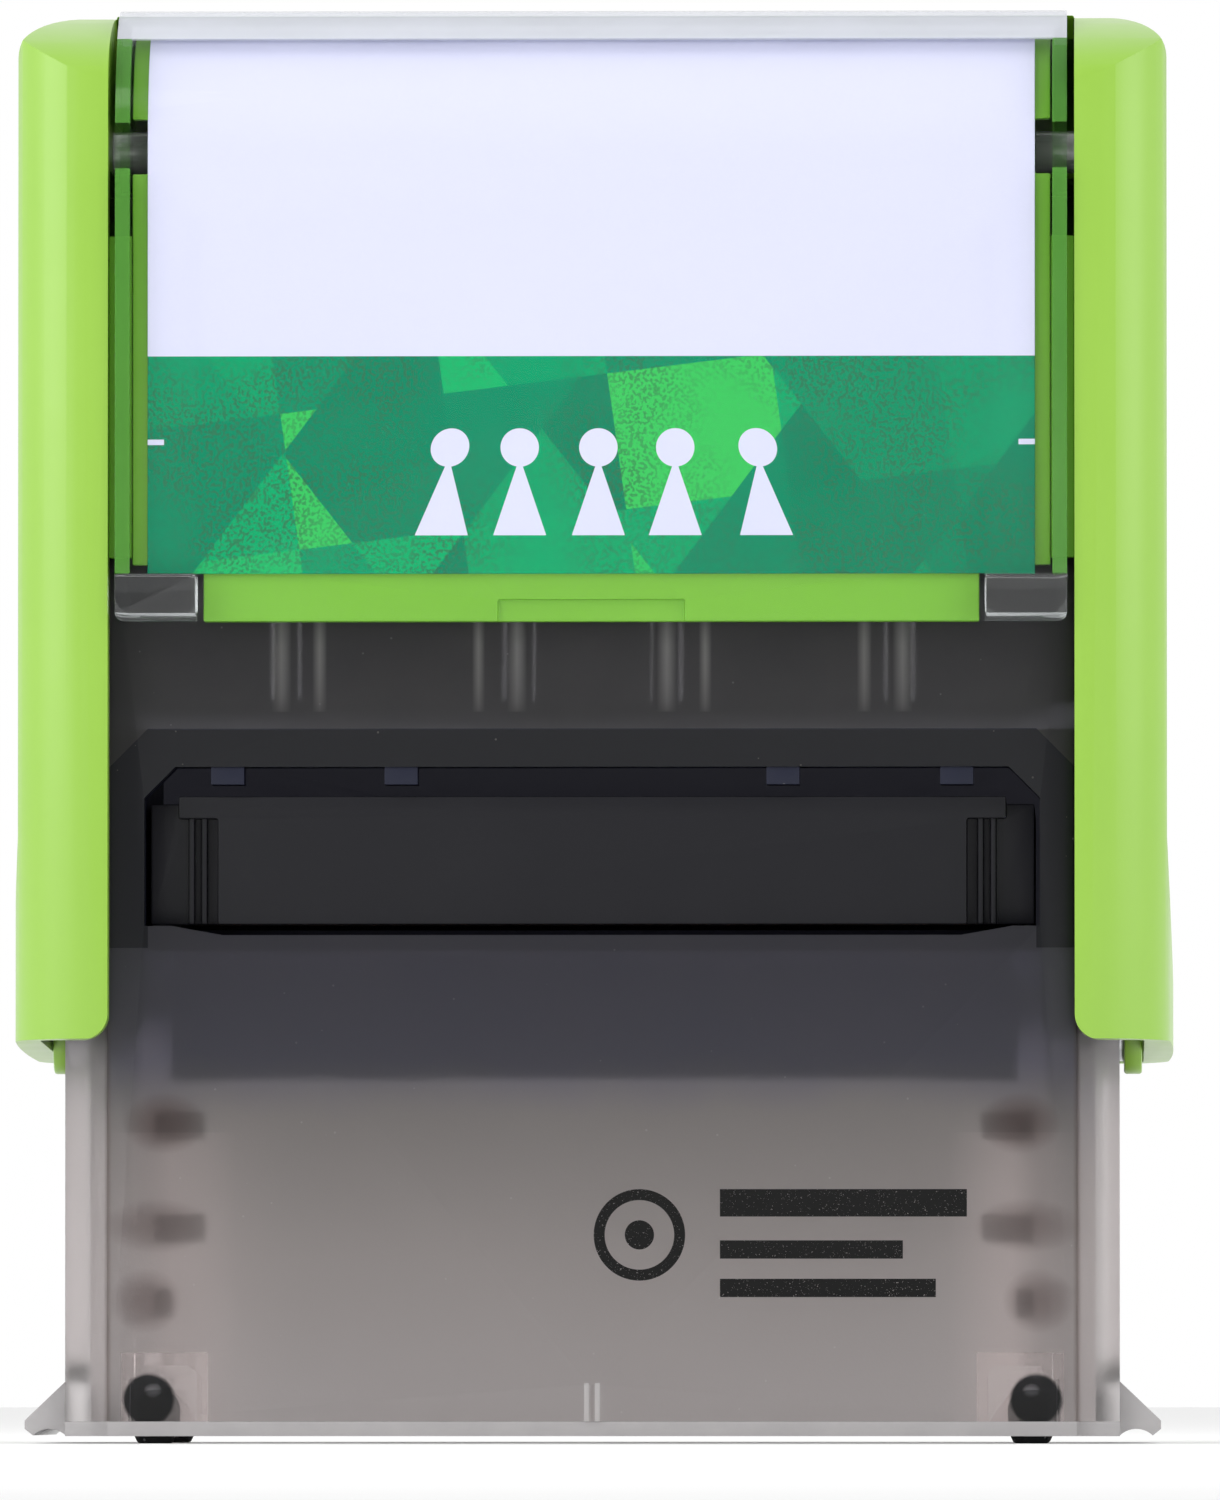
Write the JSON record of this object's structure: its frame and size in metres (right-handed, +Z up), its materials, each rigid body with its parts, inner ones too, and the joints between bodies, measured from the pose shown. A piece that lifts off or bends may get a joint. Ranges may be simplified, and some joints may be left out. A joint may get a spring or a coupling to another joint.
{
  "type": "self-inking stamp",
  "caption": "Push-down self-inking stamp with a flip-over print plate, slide-out ink cartridge and a hinged clear index window on a two-grip handle.",
  "frame": {"origin": "centre of the footprint, on the paper that the stamp stands on", "axes": "+Z up, -Y towards the index window at the front, +X to the right as seen from the front"},
  "size_m": [0.064, 0.035, 0.0787],
  "materials": {
    "smoke_plastic": "smoke-tinted translucent plastic, lightly frosted",
    "clear_plastic": "clear polished plastic",
    "black_rubber": "soft matte rubber",
    "navy_plastic": "dark navy moulded plastic",
    "spring_steel": "bright drawn steel",
    "lime_plastic": "satin lime green plastic",
    "card": "smooth coated card with a printed green band",
    "black_plastic": "fine matte black moulded plastic",
    "foam": "fine-celled foam tape",
    "print_rubber": "soft print polymer with an inked face",
    "ink_felt": "ink-soaked felt"
  },
  "bodies": {
    "base": {"housing": "smoke_plastic", "base_rim": "clear_plastic", "rubber_feet": "black_rubber", "pad_cage": "navy_plastic", "left_cam_plate": "smoke_plastic", "right_cam_plate": "smoke_plastic", "left_return_spring": "spring_steel", "right_return_spring": "spring_steel"},
    "handle": {"left_grip": "lime_plastic", "right_grip": "lime_plastic", "rear_cover": "lime_plastic", "index_panel": "lime_plastic", "index_card": "card", "window_hinge_pins": "spring_steel", "handle_frame": "lime_plastic"},
    "window": {"window_cover": "clear_plastic"},
    "carrier": {"die_carrier": "navy_plastic", "carrier_trunnions": "spring_steel", "flip_pins": "spring_steel", "foam_cushion": "foam", "text_plate": "print_rubber"},
    "cartridge": {"pad_tray": "black_plastic", "pad_felt": "ink_felt"},
    "lock": {"lock_button": "navy_plastic"}
  },
  "joints": [
    {"name": "handle_press", "type": "slide", "parent": "base", "child": "handle", "axis": [0, 0, -1], "range_m": [0, 0.017], "stiffness_N_per_m": 600, "springref_m": -0.004, "deforming": ["left_return_spring", "right_return_spring"]},
    {"name": "die_flip", "type": "hinge", "parent": "handle", "child": "carrier", "pos_m": [0, 0, 0.0226], "axis": [1, 0, 0], "range_deg": [0, 180.2]},
    {"name": "window_open", "type": "hinge", "parent": "handle", "child": "window", "pos_m": [0, -0.0097, 0.0709], "axis": [-1, 0, 0], "range_deg": [0, 60]},
    {"name": "cartridge_slide", "type": "slide", "parent": "base", "child": "cartridge", "axis": [0, -1, 0], "range_m": [0, 0.034]},
    {"name": "lock_press", "type": "slide", "parent": "handle", "child": "lock", "axis": [0, -1, 0], "range_m": [0, 0.0009], "stiffness_N_per_m": 800, "springref_m": -0.0005}
  ],
  "couplings": [
    {"joint": "die_flip", "follows": "handle_press", "rad_per_m": 184.8}
  ]
}
